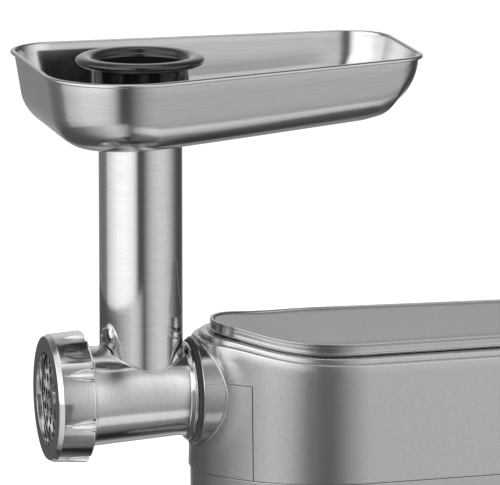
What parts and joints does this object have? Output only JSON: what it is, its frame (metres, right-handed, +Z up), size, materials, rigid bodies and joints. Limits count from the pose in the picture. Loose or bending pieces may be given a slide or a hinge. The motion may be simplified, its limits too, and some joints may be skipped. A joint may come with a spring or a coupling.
{
  "type": "electric meat grinder",
  "caption": "Free-standing electric meat grinder: stainless barrel, hopper tube and tray with pusher on a grey geared-motor housing.",
  "frame": {"origin": "centre of the base footprint, on the plane that the feet stand on", "axes": "+X from the outlet to the rear of the housing along the barrel, +Z up, +Y away from the speed knob side"},
  "size_m": [0.3582, 0.1785, 0.413],
  "materials": {
    "polished_steel": "bright polished stainless steel",
    "satin_steel": "brushed stainless steel",
    "nut_steel": "turned and polished stainless steel",
    "tool_steel": "ground tool steel",
    "black_gloss": "glossy black moulded plastic",
    "housing_paint": "fine-speckled metallic grey paint",
    "rim_paint": "satin metallic grey",
    "panel_satin": "smooth satin grey",
    "lower_paint": "fine-speckled darker grey paint",
    "seal_rubber": "matt black rubber",
    "foot_rubber": "matt dark rubber",
    "hub_aluminium": "machined aluminium",
    "gear_plastic": "natural engineering plastic",
    "gear_steel": "hobbed steel",
    "bearing_steel": "ground bearing steel",
    "bronze": "sintered bronze",
    "lamination": "stacked electrical steel",
    "winding": "enamelled copper",
    "dark_plastic": "dark moulded plastic",
    "brush_carbon": "carbon",
    "contact_brass": "brass",
    "board": "green circuit laminate",
    "zinc": "zinc-plated sheet"
  },
  "bodies": {
    "housing": {"hub_collar": "housing_paint", "hub_seal": "seal_rubber", "hub_sleeve": "hub_aluminium", "upper_housing": "housing_paint", "front_panel": "housing_paint", "lower_housing": "lower_paint", "top_rim": "rim_paint", "top_panel": "panel_satin", "base_plate": "dark_plastic", "base_screws": "zinc", "gearbox_front_plate": "zinc", "gearbox_rear_plate": "zinc", "gearbox_spacers": "zinc", "gearbox_bearings": "bearing_steel", "output_bearing": "bearing_steel", "stator_core": "lamination", "field_windings": "winding", "motor_end_bracket": "zinc", "motor_rear_bearing": "bearing_steel", "motor_tie_rods": "zinc", "motor_cradle": "foot_rubber", "motor_brushes": "brush_carbon", "brush_holders": "contact_brass", "knob_bezel": "dark_plastic", "switch_body": "dark_plastic", "circuit_board": "board", "inlet_body": "dark_plastic", "inlet_pins": "contact_brass", "foot_front_near": "foot_rubber", "foot_front_far": "foot_rubber", "foot_rear_near": "foot_rubber", "foot_rear_far": "foot_rubber"},
    "head": {"barrel_body": "polished_steel", "hopper_tube": "polished_steel", "hole_plate": "tool_steel", "plate_key": "tool_steel", "auger_bushing": "bronze"},
    "auger": {"auger_screw": "tool_steel", "cross_blade": "tool_steel", "drive_tail": "gear_plastic"},
    "ring_nut": {"ring_nut": "nut_steel"},
    "tray": {"feed_tray": "satin_steel", "tray_collar": "satin_steel"},
    "pusher": {"pusher_cup": "black_gloss", "pusher_plunger": "black_gloss"},
    "output_drive": {"output_shaft": "gear_steel", "output_gear": "gear_plastic"},
    "countershaft": {"counter_shaft": "gear_steel", "counter_pinion": "gear_steel", "counter_gear": "gear_plastic"},
    "rotor": {"motor_shaft": "gear_steel", "motor_pinion": "gear_steel", "rotor_core": "lamination", "rotor_windings": "winding", "commutator": "winding", "cooling_fan": "dark_plastic"},
    "speed_knob": {"speed_knob": "black_gloss", "knob_spindle": "gear_steel"},
    "reverse_button": {"reverse_button": "dark_plastic"},
    "lock_button": {"lock_button": "dark_plastic"}
  },
  "joints": [
    {"name": "rotor_spin", "type": "hinge", "parent": "housing", "child": "rotor", "pos_m": [0.015, 0, 0.1], "axis": [1, 0, 0], "continuous": true},
    {"name": "countershaft_spin", "type": "hinge", "parent": "housing", "child": "countershaft", "pos_m": [-0.05, 0, 0.15563], "axis": [1, 0, 0], "continuous": true},
    {"name": "output_spin", "type": "hinge", "parent": "housing", "child": "output_drive", "pos_m": [-0.07, 0, 0.195], "axis": [1, 0, 0], "continuous": true},
    {"name": "head_slide", "type": "slide", "parent": "housing", "child": "head", "axis": [-1, 0, 0], "range_m": [0, 0.045]},
    {"name": "auger_spin", "type": "hinge", "parent": "head", "child": "auger", "pos_m": [-0.16, 0, 0.195], "axis": [1, 0, 0], "continuous": true},
    {"name": "ring_nut_turn", "type": "hinge", "parent": "head", "child": "ring_nut", "pos_m": [-0.21, 0, 0.195], "axis": [1, 0, 0], "range_deg": [0, 360]},
    {"name": "tray_lift", "type": "slide", "parent": "head", "child": "tray", "axis": [0, 0, 1], "range_m": [0, 0.05]},
    {"name": "pusher_slide", "type": "slide", "parent": "tray", "child": "pusher", "axis": [0, 0, 1], "range_m": [0, 0.17]},
    {"name": "speed_knob_turn", "type": "hinge", "parent": "housing", "child": "speed_knob", "pos_m": [0.04, -0.07, 0.084], "axis": [0, -1, 0], "range_deg": [-45, 90]},
    {"name": "reverse_button_press", "type": "slide", "parent": "housing", "child": "reverse_button", "axis": [0, 1, 0], "range_m": [0, 0.0025], "stiffness_N_per_m": 400, "springref_m": -0.001},
    {"name": "lock_button_press", "type": "slide", "parent": "housing", "child": "lock_button", "axis": [0, -1, 0], "range_m": [0, 0.004], "stiffness_N_per_m": 500, "springref_m": -0.001}
  ],
  "couplings": [
    {"joint": "countershaft_spin", "follows": "rotor_spin", "ratio": -0.23611},
    {"joint": "output_spin", "follows": "rotor_spin", "ratio": 0.087258},
    {"joint": "auger_spin", "follows": "rotor_spin", "ratio": 0.087258}
  ]
}
